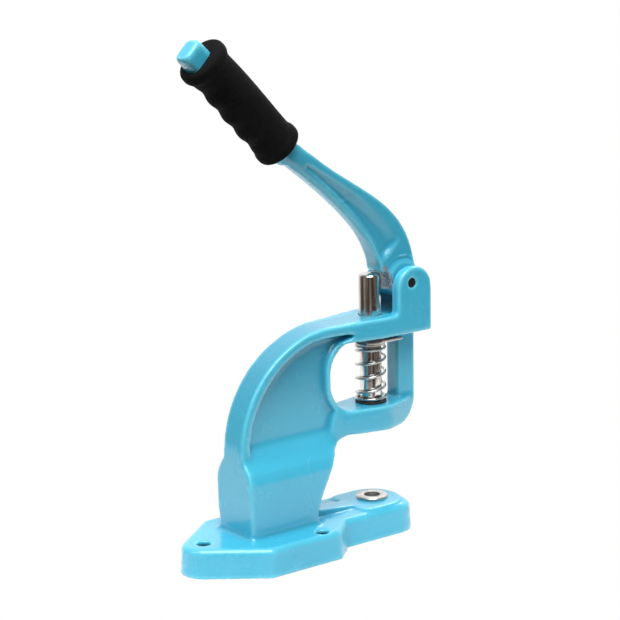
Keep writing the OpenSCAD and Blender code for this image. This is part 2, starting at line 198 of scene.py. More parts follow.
# Sprayed enamel: a faint orange peel, slow drift in tone, painted shade in the hollows, a painted
# highlight on the edges, painted shade in sheltered places, and ground metal where it is bare
def makeEnamelGroup():
    group, entry, leave = newGroup("enamelCoat", [
        ("Tone", "NodeSocketColor", (0.2, 0.6, 0.8, 1)),
        ("Hollow Shade Tone", "NodeSocketColor", (0.1, 0.5, 0.7, 1)),
        ("Edge Highlight Tone", "NodeSocketColor", (0.4, 0.8, 0.9, 1)),
        ("Peel Scale", "NodeSocketFloat", 300.0),
        ("Peel Depth", "NodeSocketFloat", 0.1),
        ("Roughness", "NodeSocketFloat", 0.3),
    ], finishOutputs)
    links = group.links
    place = addNode(group, "ShaderNodeTexCoord")
    bend = addNode(group, "ShaderNodeAttribute", attribute_name="bend")
    paintedShade = addNode(group, "ShaderNodeAttribute", attribute_name="paintedShade")
    bare = addNode(group, "ShaderNodeAttribute", attribute_name="bare")
    mottle = addNode(group, "ShaderNodeTexNoise", {"Scale": 700.0, "Detail": 4.0})
    bareTone = addNode(group, "ShaderNodeMix", {
        "A": (0.05, 0.14, 0.22, 1),
        "B": (0.32, 0.42, 0.5, 1),
    }, data_type="RGBA")
    mottleSpread = addNode(group, "ShaderNodeMapRange", {"From Min": 0.35, "From Max": 0.65})
    ground = addNode(group, "ShaderNodeMix", data_type="RGBA")
    # Painted shade: the coat is multiplied towards a deep blue where the shade mark is high
    shadeCover = addNode(group, "ShaderNodeMix", {"B": (0.06, 0.16, 0.22, 1)},
                    data_type="RGBA", blend_type="MULTIPLY")
    drift = addNode(group, "ShaderNodeTexNoise", {"Scale": 14.0, "Detail": 3.0})
    # Painted shade deepens the colour in the hollows and a painted highlight lightens the edges, both read
    # from the bend mark
    hollowShade = addNode(group, "ShaderNodeMapRange", {"From Min": 0.5, "From Max": 0.2})
    edge = addNode(group, "ShaderNodeMapRange", {"From Min": 0.55, "From Max": 0.95})
    tint = addNode(group, "ShaderNodeMapRange", {
        "From Min": 0.3, "From Max": 0.7,
        "To Min": 0.94, "To Max": 1.04,
    })
    toHollowShade = addNode(group, "ShaderNodeMix", data_type="RGBA")
    toEdgeHighlight = addNode(group, "ShaderNodeMix", data_type="RGBA")
    shade = addNode(group, "ShaderNodeMix", {"Factor": 1.0}, data_type="RGBA", blend_type="MULTIPLY")
    peel = addNode(group, "ShaderNodeTexNoise", {"Detail": 2.0, "Roughness": 0.4})
    bump = addNode(group, "ShaderNodeBump", {"Distance": 0.0006})
    rough = addNode(group, "ShaderNodeMath", operation="MULTIPLY_ADD")
    wander = addNode(group, "ShaderNodeTexNoise", {"Scale": 60.0, "Detail": 4.0})
    for texture in (drift, peel, wander, mottle):
        links.new(place.outputs["Object"], texture.inputs["Vector"])
    links.new(bend.outputs["Fac"], hollowShade.inputs["Value"])
    links.new(bend.outputs["Fac"], edge.inputs["Value"])
    links.new(drift.outputs["Fac"], tint.inputs["Value"])
    links.new(entry.outputs["Tone"], toHollowShade.inputs["A"])
    links.new(entry.outputs["Hollow Shade Tone"], toHollowShade.inputs["B"])
    links.new(hollowShade.outputs["Result"], toHollowShade.inputs["Factor"])
    links.new(toHollowShade.outputs["Result"], toEdgeHighlight.inputs["A"])
    links.new(entry.outputs["Edge Highlight Tone"], toEdgeHighlight.inputs["B"])
    links.new(edge.outputs["Result"], toEdgeHighlight.inputs["Factor"])
    links.new(toEdgeHighlight.outputs["Result"], shade.inputs["A"])
    links.new(tint.outputs["Result"], shade.inputs["B"])
    links.new(shade.outputs["Result"], shadeCover.inputs["A"])
    links.new(paintedShade.outputs["Fac"], shadeCover.inputs["Factor"])
    links.new(mottle.outputs["Fac"], mottleSpread.inputs["Value"])
    links.new(mottleSpread.outputs["Result"], bareTone.inputs["Factor"])
    links.new(shadeCover.outputs["Result"], ground.inputs["A"])
    links.new(bareTone.outputs["Result"], ground.inputs["B"])
    links.new(bare.outputs["Fac"], ground.inputs["Factor"])
    links.new(ground.outputs["Result"], leave.inputs["Color"])
    links.new(entry.outputs["Peel Scale"], peel.inputs["Scale"])
    links.new(peel.outputs["Fac"], bump.inputs["Height"])
    links.new(entry.outputs["Peel Depth"], bump.inputs["Strength"])
    links.new(bump.outputs["Normal"], leave.inputs["Normal"])
    links.new(wander.outputs["Fac"], rough.inputs[0])
    rough.inputs[1].default_value = 0.12  # how much the gloss wanders
    links.new(entry.outputs["Roughness"], rough.inputs[2])
    links.new(rough.outputs["Value"], leave.inputs["Roughness"])
    return group


# Turned or ground metal: fine rings along an axis, smudges and small scratches
def makeMetalGroup():
    group, entry, leave = newGroup("workedMetal", [
        ("Tone", "NodeSocketColor", (0.6, 0.6, 0.6, 1)),
        ("Dull Tone", "NodeSocketColor", (0.4, 0.4, 0.4, 1)),
        ("Roughness", "NodeSocketFloat", 0.2),
        ("Smudge", "NodeSocketFloat", 0.2),
        ("Ring Depth", "NodeSocketFloat", 0.1),
        ("Ring Scale", "NodeSocketVector", (50.0, 50.0, 4000.0)),
    ], finishOutputs)
    links = group.links
    place = addNode(group, "ShaderNodeTexCoord")
    stretch = addNode(group, "ShaderNodeVectorMath", operation="MULTIPLY")
    rings = addNode(group, "ShaderNodeTexNoise", {"Scale": 1.0, "Detail": 3.0})
    smudges = addNode(group, "ShaderNodeTexNoise", {"Scale": 160.0, "Detail": 5.0, "Roughness": 0.65})
    spread = addNode(group, "ShaderNodeMapRange", {"From Min": 0.35, "From Max": 0.7})
    blend = addNode(group, "ShaderNodeMix", data_type="RGBA")
    amount = addNode(group, "ShaderNodeMath", operation="MULTIPLY")
    rough = addNode(group, "ShaderNodeMath", operation="ADD")
    bump = addNode(group, "ShaderNodeBump", {"Distance": 0.0001})
    links.new(place.outputs["Object"], stretch.inputs[0])
    links.new(entry.outputs["Ring Scale"], stretch.inputs[1])
    links.new(stretch.outputs["Vector"], rings.inputs["Vector"])
    links.new(place.outputs["Object"], smudges.inputs["Vector"])
    links.new(smudges.outputs["Fac"], spread.inputs["Value"])
    links.new(spread.outputs["Result"], blend.inputs["Factor"])
    links.new(entry.outputs["Tone"], blend.inputs["A"])
    links.new(entry.outputs["Dull Tone"], blend.inputs["B"])
    links.new(blend.outputs["Result"], leave.inputs["Color"])
    links.new(spread.outputs["Result"], amount.inputs[0])
    links.new(entry.outputs["Smudge"], amount.inputs[1])
    links.new(amount.outputs["Value"], rough.inputs[0])
    links.new(entry.outputs["Roughness"], rough.inputs[1])
    links.new(rough.outputs["Value"], leave.inputs["Roughness"])
    links.new(rings.outputs["Fac"], bump.inputs["Height"])
    links.new(entry.outputs["Ring Depth"], bump.inputs["Strength"])
    links.new(bump.outputs["Normal"], leave.inputs["Normal"])
    return group


# Foam or rubber: open pores over a slow unevenness
def makePoreGroup():
    group, entry, leave = newGroup("porousSkin", [
        ("Tone", "NodeSocketColor", (0.02, 0.02, 0.02, 1)),
        ("Dust Tone", "NodeSocketColor", (0.05, 0.05, 0.05, 1)),
        ("Pore Scale", "NodeSocketFloat", 1500.0),
        ("Pore Depth", "NodeSocketFloat", 0.4),
    ], [finishOutputs[0], finishOutputs[2]])
    links = group.links
    place = addNode(group, "ShaderNodeTexCoord")
    pores = addNode(group, "ShaderNodeTexVoronoi", feature="SMOOTH_F1")
    grain = addNode(group, "ShaderNodeTexNoise", {"Scale": 900.0, "Detail": 4.0})
    dust = addNode(group, "ShaderNodeTexNoise", {"Scale": 45.0, "Detail": 4.0})
    spread = addNode(group, "ShaderNodeMapRange", {"From Min": 0.4, "From Max": 0.75})
    blend = addNode(group, "ShaderNodeMix", data_type="RGBA")
    height = addNode(group, "ShaderNodeMath", operation="ADD")
    bump = addNode(group, "ShaderNodeBump", {"Distance": 0.0005})
    for texture in (pores, grain, dust):
        links.new(place.outputs["Object"], texture.inputs["Vector"])
    links.new(entry.outputs["Pore Scale"], pores.inputs["Scale"])
    links.new(dust.outputs["Fac"], spread.inputs["Value"])
    links.new(spread.outputs["Result"], blend.inputs["Factor"])
    links.new(entry.outputs["Tone"], blend.inputs["A"])
    links.new(entry.outputs["Dust Tone"], blend.inputs["B"])
    links.new(blend.outputs["Result"], leave.inputs["Color"])
    links.new(pores.outputs["Distance"], height.inputs[0])
    links.new(grain.outputs["Fac"], height.inputs[1])
    links.new(height.outputs["Value"], bump.inputs["Height"])
    links.new(entry.outputs["Pore Depth"], bump.inputs["Strength"])
    links.new(bump.outputs["Normal"], leave.inputs["Normal"])
    return group


groups = {"enamel": makeEnamelGroup(), "metal": makeMetalGroup(), "pores": makePoreGroup()}


# A material from one of the groups; surface sets the shader's own sockets
def makeMaterial(name, groupName, groupValues, surface):
    material = bpy.data.materials.new(name)
    material.use_nodes = True
    tree = material.node_tree
    shader = tree.nodes["Principled BSDF"]
    for label, value in surface.items():
        shader.inputs[label].default_value = value
    finish = addNode(tree, "ShaderNodeGroup", node_tree=groups[groupName])
    for label, value in groupValues.items():
        finish.inputs[label].default_value = value
    tree.links.new(finish.outputs["Color"], shader.inputs["Base Color"])
    tree.links.new(finish.outputs["Normal"], shader.inputs["Normal"])
    if "Roughness" in finish.outputs:
        tree.links.new(finish.outputs["Roughness"], shader.inputs["Roughness"])
    return material


blueEnamel = makeMaterial("blueEnamel", "enamel", {
    "Tone": (0.052, 0.45, 0.655, 1),
    "Hollow Shade Tone": (0.036, 0.37, 0.56, 1),
    "Edge Highlight Tone": (0.12, 0.58, 0.76, 1),
    "Peel Scale": 260.0,
    "Peel Depth": 0.18,
    "Roughness": 0.2,
}, {"Coat Weight": 0.3, "Coat Roughness": 0.1})
chromeSteel = makeMaterial("chromeSteel", "metal", {
    "Tone": (0.66, 0.655, 0.645, 1),
    "Dull Tone": (0.54, 0.53, 0.51, 1),
    "Roughness": 0.13,
    "Smudge": 0.1,
    "Ring Depth": 0.05,
}, {"Metallic": 1.0})
springSteel = makeMaterial("springSteel", "metal", {
    "Tone": (0.66, 0.65, 0.63, 1),
    "Dull Tone": (0.42, 0.41, 0.39, 1),
    "Roughness": 0.18,
    "Smudge": 0.15,
    "Ring Depth": 0.1,
    "Ring Scale": (900.0, 900.0, 900.0),
}, {"Metallic": 1.0})
groundSteel = makeMaterial("groundSteel", "metal", {
    "Tone": (0.6, 0.585, 0.56, 1),
    "Dull Tone": (0.43, 0.41, 0.38, 1),
    "Roughness": 0.28,
    "Smudge": 0.2,
    "Ring Depth": 0.3,
    "Ring Scale": (1200.0, 1200.0, 300.0),
}, {"Metallic": 1.0})
blackOxide = makeMaterial("blackOxide", "metal", {
    "Tone": (0.005, 0.006, 0.008, 1),
    "Dull Tone": (0.012, 0.012, 0.013, 1),
    "Roughness": 0.3,
    "Smudge": 0.2,
    "Ring Depth": 0.1,
}, {"Metallic": 0.1, "Specular IOR Level": 0.2})
bronze = makeMaterial("bronze", "metal", {
    "Tone": (0.55, 0.36, 0.16, 1),
    "Dull Tone": (0.34, 0.22, 0.1, 1),
    "Roughness": 0.3,
    "Smudge": 0.2,
    "Ring Depth": 0.2,
}, {"Metallic": 1.0})
blackRubber = makeMaterial("blackRubber", "pores", {
    "Tone": (0.012, 0.012, 0.013, 1),
    "Dust Tone": (0.03, 0.03, 0.03, 1),
    "Pore Scale": 900.0,
    "Pore Depth": 0.1,
}, {"Roughness": 0.55})
gripFoam = makeMaterial("gripFoam", "pores", {
    "Tone": (0.0045, 0.0045, 0.0046, 1),
    "Dust Tone": (0.008, 0.008, 0.008, 1),
    "Pore Scale": 1400.0,
    "Pore Depth": 0.5,
}, {"Roughness": 0.9, "Specular IOR Level": 0.1})
print("materials made")


def readVertices(piece, name):
    values = np.zeros(len(piece.data.vertices) * 3)
    piece.data.vertices.foreach_get(name, values)
    return values.reshape(-1, 3)


def writeMark(piece, name, values):
    layer = piece.data.attributes.new(name, "FLOAT", "POINT")
    layer.data.foreach_set("value", np.clip(values, 0, 1).astype(np.float32))


# Writes how much the surface bends at each vertex: 0.5 flat, more on edges, less in hollows; the coat
# turns it into painted highlight on edges and painted shade in hollows
def markBend(piece, gain, rounds=6):
    mesh = piece.data
    count = len(mesh.vertices)
    places = readVertices(piece, "co")
    normals = readVertices(piece, "normal")
    ends = np.zeros(len(mesh.edges) * 2, dtype=np.int64)
    mesh.edges.foreach_get("vertices", ends)
    first, second = ends.reshape(-1, 2).T
    step = places[second] - places[first]
    length = np.maximum(np.linalg.norm(step, axis=1), 1e-9)
    total = np.zeros(count)
    shared = np.zeros(count)
    np.add.at(total, first, -np.einsum("ij,ij->i", step, normals[first]) / length ** 2)
    np.add.at(total, second, np.einsum("ij,ij->i", step, normals[second]) / length ** 2)
    np.add.at(shared, first, 1)
    np.add.at(shared, second, 1)
    bend = total / np.maximum(shared, 1)
    for _ in range(rounds):
        around = np.zeros(count)
        np.add.at(around, first, bend[second])
        np.add.at(around, second, bend[first])
        bend = 0.5 * bend + 0.5 * around / np.maximum(shared, 1)
    writeMark(piece, "bend", 0.5 + gain * bend)
    print(piece.name, "bend from", round(float(bend.min()), 1), "to", round(float(bend.max()), 1))


# Writes a share from 0 to 1 at each vertex: one mark darkens the coat as painted shade, bare shows ground
# metal
def markShare(piece, name, shareOf):
    writeMark(piece, name, np.array([shareOf(vertex.co) for vertex in piece.data.vertices]))


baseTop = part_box("die_socket")[1].z - 0.0039  # the socket's flange stands above the base
pinMiddle = middle("pivot_pin")

# A pair of lengths is where an effect starts and ends; four are where it starts, is full, fades and ends
frameSettings = {
    "voxel": 0.00105,
    "soften": 10,
    "footSoften": 45,
    "pocketSoften": 22,
    "bendGain": 0.004,
    "crispRam": (0.0095, 0.0135),
    "crispPin": (0.0042, 0.0075),
    "crispSole": (0.0005, 0.004),
    "footHeight": (0.012, baseTop - 0.001, baseTop + 0.006, baseTop + 0.018),
    "footAcross": (0, 0.012, 0.026, 0.034),
    "footAlong": (-0.136, -0.130, -0.058, -0.05),
    "footRear": (-0.136, -0.130, -0.116, -0.11),
    "pocketHeight": (0.062, 0.076, 0.150, 0.156),
    "pocketFront": (-0.03, -0.02),
    "earRoot": (0.011, 0.1612),
    "earRootReach": (0.003, 0.008),
    "earFlank": (0.012, 0.016),
    "boltHoles": ((-0.15, 0), (-0.0725, -0.0335), (-0.0725, 0.0335)),
    "holeReach": 0.0054,
    "holeBelow": 0.019,
    "holeTop": 0.0195,
    "holeFade": 0.003,
    "holeShade": 0.95,
    "slotShade": 0.6,
    "slotLow": 0.158,
    "slotRear": 0.0095,
    "slotHalf": 0.0112,
    "windowShade": 0.25,
    "windowFace": (0.0195, 0.0202, 0.0208, 0.0215),
    "windowHalf": 0.0072,
    "windowFrom": 0.010,
    "webShade": 0.08,
    "webShadeGain": 0.24,
    "webDeepen": (0.085, 0.135),
    "webFlank": (0.0074, 0.0105),
    "webLow": (0.083, 0.088),
}

pressFrame = copyPart("frame_casting", "pressFrame")
remesh(pressFrame, frameSettings["voxel"])


# The ram's bores, the pin's holes and the sole stay crisp
def frameSoftness(place):
    fromRam = math.hypot(place.x, place.y)
    fromPin = math.hypot(place.x - pinMiddle.x, place.z - pinMiddle.z)
    weight = 0.1 + 0.9 * ramp(fromRam, *frameSettings["crispRam"])
    weight = min(weight, 0.1 + 0.9 * ramp(fromPin, *frameSettings["crispPin"]))
    return min(weight, 0.15 + 0.85 * ramp(place.z, *frameSettings["crispSole"]))


# The fillet where the column stands on the base
def footSoftness(place):
    outer = frameSettings["footAcross"][2:]
    height = band(place.z, *frameSettings["footHeight"])
    across = band(abs(place.y), *frameSettings["footAcross"])
    along = band(place.x, *frameSettings["footAlong"])
    rear = band(place.x, *frameSettings["footRear"]) * (1 - ramp(abs(place.y), *outer))
    return height * max(across * along, rear)


# The web's panel and the roots of the ears
def pocketSoftness(place):
    height = band(place.z, *frameSettings["pocketHeight"])
    along = 1 - ramp(place.x, *frameSettings["pocketFront"])
    rootX, rootZ = frameSettings["earRoot"]
    fromRoot = math.hypot(place.x - rootX, place.z - rootZ)
    root = 1 - ramp(fromRoot, *frameSettings["earRootReach"])
    return max(height * along, root * ramp(abs(place.y), *frameSettings["earFlank"]))


weigh(pressFrame, "overall", frameSoftness)
weigh(pressFrame, "foot", footSoftness)
weigh(pressFrame, "pocket", pocketSoftness)
smoothGroup(pressFrame, "overall", frameSettings["soften"])
smoothGroup(pressFrame, "foot", frameSettings["footSoften"])
smoothGroup(pressFrame, "pocket", frameSettings["pocketSoften"])
markBend(pressFrame, frameSettings["bendGain"])


# Painted shade in the bolt holes, the slot between the ears, the window's front face and the web behind
# the rim
def framePaintedShade(place):
    across = abs(place.y)
    if place.z < frameSettings["holeBelow"]:
        for holeX, holeY in frameSettings["boltHoles"]:
            if math.hypot(place.x - holeX, place.y - holeY) < frameSettings["holeReach"]:
                sunk = frameSettings["holeTop"] - place.z
                return frameSettings["holeShade"] * ramp(sunk, 0, frameSettings["holeFade"])
        return 0.0
    inSlot = place.z > frameSettings["slotLow"] and place.x > frameSettings["slotRear"]
    if inSlot and across < frameSettings["slotHalf"]:
        return frameSettings["slotShade"]
    if place.x > frameSettings["windowFrom"] and across < frameSettings["windowHalf"]:
        return frameSettings["windowShade"] * band(place.x, *frameSettings["windowFace"])
    shade = frameSettings["webShade"]
    shade += frameSettings["webShadeGain"] * ramp(place.z, *frameSettings["webDeepen"])
    return shade * (1 - ramp(across, *frameSettings["webFlank"])) * ramp(place.z, *frameSettings["webLow"])


markShare(pressFrame, "paintedShade", framePaintedShade)
fit(pressFrame, "frame", blueEnamel, "blue_enamel", "frame_casting")
print("frame casting:", len(pressFrame.data.polygons), "faces")

# Four corners make a curve in the X-Z plane; a Reach, From or End pair is where an effect starts and ends
leverSettings = {
    "voxel": 0.00065,
    "soften": 6,
    "edgeSoften": 160,
    "barSoften": 140,
    "tipSoften": 40,
    "bendGain": 0.006,
    "flankHalf": 0.0086,
    "flankInside": 0.0040,
    "flankOutside": 0.0004,
    "recessLower": ((-0.0605, 0.2725), (-0.0325, 0.2500), (-0.0030, 0.2250), (0.0056, 0.1960)),
    "recessUpper": ((0.0262, 0.2150), (0.0060, 0.2370), (-0.0200, 0.2550), (-0.0600, 0.2760)),
    "recessDepth": 0.0034,
    "recessWall": (0, 0.0020),
    "recessClimb": (0.02, 0.7),
    "recessHubEnd": (0.0004, 0.0062),
    "recessTipEnd": (0.004, 0.045),
    "recessTipShare": 0.6,
    "bossRadius": 0.0183,
    "bossMargin": 0.0001,
    "bossRise": 0.0019,
    "bossReach": (0, 0.0055),
    "bushClear": 0.0065,
    "lipEdge": ((-0.074, 0.2762), (-0.0398, 0.2524), (0.003, 0.216), (0.004, 0.194)),
    "lipNarrow": 0.28,
    "lipReach": (0, 0.0085),
    "lipFrom": (0.205, 0.230),
    "lipOut": 0.0013,
    "lipOutReach": (0.001, 0.007),
    "lipOutFrom": (0.1945, 0.201),
    "roundReach": (0.0035, 0.0065),
    "roundAcross": (0.001, 0.004),
    "roundFrom": (0.194, 0.204),
    "crispPin": (0.008, 0.014),
    "barJoin": (-0.022, -0.008, 0.002, 0.008),
    "barTip": (0.093, 0.096),
    "camStart": (0.0076, 0.1935),
    "camStep": (0.0052, -0.0135),
    "camReach": (0.0018, 0.0028),
    "shade": 0.12,
    "shadeFrom": (0.19, 0.2),
}
# The grip's lower end, and the way that the bar points
gripTilt = math.radians(46.2)
gripLow = Vector((-0.0772, 0, 0.2878))
gripAxis = Vector((-math.sin(gripTilt), 0, math.cos(gripTilt)))

leverArm = copyPart("lever_casting", "leverArm")
remesh(leverArm, leverSettings["voxel"])


# Points along a curve with two ends and two handles
def curvePoints(corners, count=40):
    share = np.linspace(0, 1, count)[:, None]
    rest = 1 - share
    p, q, r, s = (np.array(corner) for corner in corners)
    return rest ** 3 * p + 3 * rest ** 2 * share * q + 3 * rest * share ** 2 * r + share ** 3 * s


# Distance of each point to a line of points, in the X-Z plane
def lineDistance(points, line):
    nearest = np.full(len(points), 1.0)
    for start, end in zip(line[:-1], line[1:]):
        along = end - start
        share = np.clip((points - start) @ along / max(along @ along, 1e-12), 0, 1)
        nearest = np.minimum(nearest, np.linalg.norm(points - start - share[:, None] * along, axis=1))
    return nearest


def insideLoop(points, loop):
    inside = np.zeros(len(points), dtype=bool)
    for (x0, z0), (x1, z1) in zip(loop, np.roll(loop, -1, axis=0)):
        if z0 != z1:
            spans = (points[:, 1] < z0) != (points[:, 1] < z1)
            inside ^= spans & (points[:, 0] < x0 + (x1 - x0) * (points[:, 1] - z0) / (z1 - z0))
    return inside


# The same smooth rise as ramp, for many values at once
def easeIn(value, low, high):
    share = np.clip((value - low) / (high - low), 0, 1)
    return share * share * (3 - 2 * share)


# The recess is deepest along its lower wall, and its floor climbs to the upper band and the hub
def pressRecess(places, flat):
    lowerLine = curvePoints(leverSettings["recessLower"])
    upperLine = curvePoints(leverSettings["recessUpper"])
    hubLine = np.array([lowerLine[-1], upperLine[0]])
    fromLower = lineDistance(flat, lowerLine)
    fromUpper = lineDistance(flat, upperLine)
    fromHub = lineDistance(flat, hubLine)
    fromTip = np.linalg.norm(flat - lowerLine[0], axis=1)
    climb = easeIn(fromUpper / np.maximum(fromUpper + fromLower, 1e-6), *leverSettings["recessClimb"])
    depth = leverSettings["recessDepth"] * easeIn(fromLower, *leverSettings["recessWall"])
    depth *= climb * easeIn(fromHub, *leverSettings["recessHubEnd"])
    tipShare = leverSettings["recessTipShare"]
    depth *= tipShare + (1 - tipShare) * easeIn(fromTip, *leverSettings["recessTipEnd"])
    flankHalf = leverSettings["flankHalf"]
    across = np.abs(places[:, 1])
    onFlank = across > flankHalf - leverSettings["flankInside"]
    onFlank &= across < flankHalf + leverSettings["flankOutside"]
    sunk = onFlank & insideLoop(flat, np.vstack([lowerLine, upperLine]))
    places[sunk, 1] = np.sign(places[sunk, 1]) * (flankHalf - depth[sunk])


# The hub's boss stands full height between the ears and sinks nearly flush above them
def sinkBoss(places, flat):
    radius = leverSettings["bossRadius"]
    fromPivot = np.hypot(flat[:, 0] - pinMiddle.x, flat[:, 1] - pinMiddle.z)
    rise = leverSettings["bossRise"] * easeIn(radius - fromPivot, *leverSettings["bossReach"])
    half = leverSettings["flankHalf"] + rise
    onBoss = fromPivot < radius + leverSettings["bossMargin"]
    onBoss &= fromPivot > leverSettings["bushClear"]
    onBoss &= np.abs(places[:, 1]) > half
    places[onBoss, 1] = np.sign(places[onBoss, 1]) * half[onBoss]


# The shank narrows into a rounded bead along its lower edge, which stands out over the cam
def narrowLip(places, flat, line):
    fromEdge = lineDistance(flat, line)
    narrow = 1 - easeIn(fromEdge, *leverSettings["lipReach"])
    narrow *= easeIn(flat[:, 1], *leverSettings["lipFrom"])
    out = 1 - easeIn(fromEdge, *leverSettings["lipOutReach"])
    out *= easeIn(flat[:, 1], *leverSettings["lipOutFrom"])
    places[:, 1] *= 1 - leverSettings["lipNarrow"] * narrow
    places[:, 0] -= leverSettings["lipOut"] * out


leverPlaces = readVertices(leverArm, "co")
leverFlat = leverPlaces[:, [0, 2]]
lipLine = curvePoints(leverSettings["lipEdge"])
pressRecess(leverPlaces, leverFlat)
sinkBoss(leverPlaces, leverFlat)
narrowLip(leverPlaces, leverFlat, lipLine)
leverArm.data.vertices.foreach_set("co", leverPlaces.ravel())
leverArm.data.update()
remesh(leverArm, leverSettings["voxel"])


# The hub stays crisp round its bush
def leverSoftness(place):
    fromPin = math.hypot(place.x - pinMiddle.x, place.z - pinMiddle.z)
    return 0.1 + 0.9 * ramp(fromPin, *leverSettings["crispPin"])


# The shank's lower edges are cast with a large radius, fading out at the cam
def lowerEdge(place):
    near = min(math.hypot(place.x - x, place.z - z) for x, z in lipLine[::2])
    reach = 1 - ramp(near, *leverSettings["roundReach"])
    across = ramp(abs(place.y), *leverSettings["roundAcross"])
    return reach * across * ramp(place.z, *leverSettings["roundFrom"])


def alongGrip(place):
    return (place - gripLow).dot(gripAxis)


# Where the shank runs into the bar, just outside the grip
def barJoin(place):
    return band(alongGrip(place), *leverSettings["barJoin"])


def barTip(place):
    return ramp(alongGrip(place), *leverSettings["barTip"])


weigh(leverArm, "overall", leverSoftness)
weigh(leverArm, "lowerEdge", lowerEdge)
weigh(leverArm, "barJoin", barJoin)
weigh(leverArm, "barTip", barTip)
smoothGroup(leverArm, "barTip", leverSettings["tipSoften"])
smoothGroup(leverArm, "barJoin", leverSettings["barSoften"])
smoothGroup(leverArm, "lowerEdge", leverSettings["edgeSoften"])
smoothGroup(leverArm, "overall", leverSettings["soften"])
markBend(leverArm, leverSettings["bendGain"])


# The cam's working face and its flanks are ground bare after painting
def camBare(place):
    step = Vector(leverSettings["camStep"])
    spot = Vector((place.x, place.z)) - Vector(leverSettings["camStart"])
    share = max(0.0, min(1.0, spot.dot(step) / step.length_squared))
    return 1 - ramp((spot - share * step).length, *leverSettings["camReach"])


# Painted shade over the lever above the cam
def leverPaintedShade(place):
    return leverSettings["shade"] * ramp(place.z, *leverSettings["shadeFrom"])


markShare(leverArm, "paintedShade", leverPaintedShade)
markShare(leverArm, "bare", camBare)
fit(leverArm, "lever", blueEnamel, "blue_enamel", "lever_casting")
print("lever:", len(leverArm.data.polygons), "faces")

# Places along the grip are measured from its collar nearest the hub
gripSettings = {
    "voxel": 0.0009,
    "soften": 10,
    "settle": 4,
    "length": 0.092,
    "core": 0.0118,
    "skin": 0.0145,
    "grooves": 4,
    "grooveDepth": 0.0014,
    "grooveFrom": 0.012,
    "grooveTo": 0.080,
    "grooveSide": (0.1, 0.9),
    "swell": 0.0011,
    "swellFrom": 0.01,
    "swellLength": 0.072,
    "swellSide": (-0.2, 0.9),
    "flare": 0.001,
    "flareFrom": (0.078, 0.086),
    "lift": 0.0024,
    "liftFrom": (0.02, 0.09),
}
foamGrip = copyPart("foam_grip", "foamGrip")
remesh(foamGrip, gripSettings["voxel"])
applyModifier(foamGrip, "SMOOTH", factor=0.5, iterations=gripSettings["soften"])
gripPlace = Matrix.Translation(middle("foam_grip")) @ Matrix.Rotation(-gripTilt, 4, "Y")
foamGrip.data.transform(gripPlace.inverted())


# Finger grooves on the lower side, between the two collars
def grooveAt(along):
    share = (along - gripSettings["grooveFrom"]) / (gripSettings["grooveTo"] - gripSettings["grooveFrom"])
    if not 0 < share < 1:
        return 0.0
    return math.sin(math.pi * share * gripSettings["grooves"]) ** 2


def swellAt(along):
    share = (along - gripSettings["swellFrom"]) / gripSettings["swellLength"]
    return math.sin(math.pi * min(max(share, 0), 1))


# The foam swells a little on its upper side, and its free end sits high and flares
for vertex in foamGrip.data.vertices:
    radius = math.hypot(vertex.co.x, vertex.co.y)
    if radius > gripSettings["core"]:
        along = vertex.co.z + gripSettings["length"] / 2
        outer = ramp(radius, gripSettings["core"], gripSettings["skin"])
        lower = ramp(-vertex.co.x / radius, *gripSettings["grooveSide"])
        upper = ramp(vertex.co.x / radius, *gripSettings["swellSide"])
        grow = gripSettings["swell"] * upper * swellAt(along)
        grow += gripSettings["flare"] * ramp(along, *gripSettings["flareFrom"])
        grow -= gripSettings["grooveDepth"] * lower * grooveAt(along)
        vertex.co.x *= 1 + grow * outer / radius
        vertex.co.y *= 1 + grow * outer / radius
        vertex.co.x += gripSettings["lift"] * outer * ramp(along, *gripSettings["liftFrom"])
applyModifier(foamGrip, "SMOOTH", factor=0.5, iterations=gripSettings["settle"])
foamGrip.data.transform(gripPlace)
fit(foamGrip, "lever", gripFoam, "foam", "foam_grip")
print("grip:", len(foamGrip.data.polygons), "faces")

# Compression spring: a round wire wound in almost closed end turns and open working turns
springSettings = {
    "wire": 0.002,
    "radius": 0.0104,
    "turns": 3.4,
    "closedRise": 0.00215,
    "start": math.radians(60),
    "steps": 48,
    "unevenness": 0.00012,
}
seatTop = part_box("spring_seat_washer")[1].z
springLow = seatTop + springSettings["wire"] / 2
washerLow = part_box("spring_top_washer")[0].z
springHigh = washerLow - springSettings["wire"] / 2


# Height of the wire's middle after so many turns
def windHeight(turns):
    closedRise = springSettings["closedRise"]
    workingRise = (springHigh - springLow - 2 * closedRise) / springSettings["turns"]
    closedTurns = min(turns, 1) + max(turns - springSettings["turns"] - 1, 0)
    workingTurns = min(max(turns - 1, 0), springSettings["turns"])
    return springLow + closedRise * closedTurns + workingRise * workingTurns


windSteps = int(springSettings["steps"] * (springSettings["turns"] + 2))
springCurve = bpy.data.curves.new("returnSpring", "CURVE")
springCurve.dimensions = "3D"
springCurve.bevel_depth = springSettings["wire"] / 2
springCurve.bevel_resolution = 5
springCurve.use_fill_caps = True
winding = springCurve.splines.new("POLY")
winding.points.add(windSteps)
for step in range(windSteps + 1):
    turned = step / springSettings["steps"]
    angle = springSettings["start"] + 2 * math.pi * turned
    reach = springSettings["radius"] + springSettings["unevenness"] * math.sin(3.1 * angle)
    winding.points[step].co = (reach * math.cos(angle), reach * math.sin(angle), windHeight(turned), 1)
returnSpring = bpy.data.objects.new("returnSpring", springCurve)
bpy.context.scene.collection.objects.link(returnSpring)
pick(returnSpring)
bpy.ops.object.convert(target="MESH")
returnSpring = bpy.context.object
bpy.ops.object.shade_smooth_by_angle(angle=math.radians(50))
fit(returnSpring, "frame", springSteel, "chrome_steel", "return_spring")
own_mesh(returnSpring)
print("spring:", len(returnSpring.data.polygons), "faces")

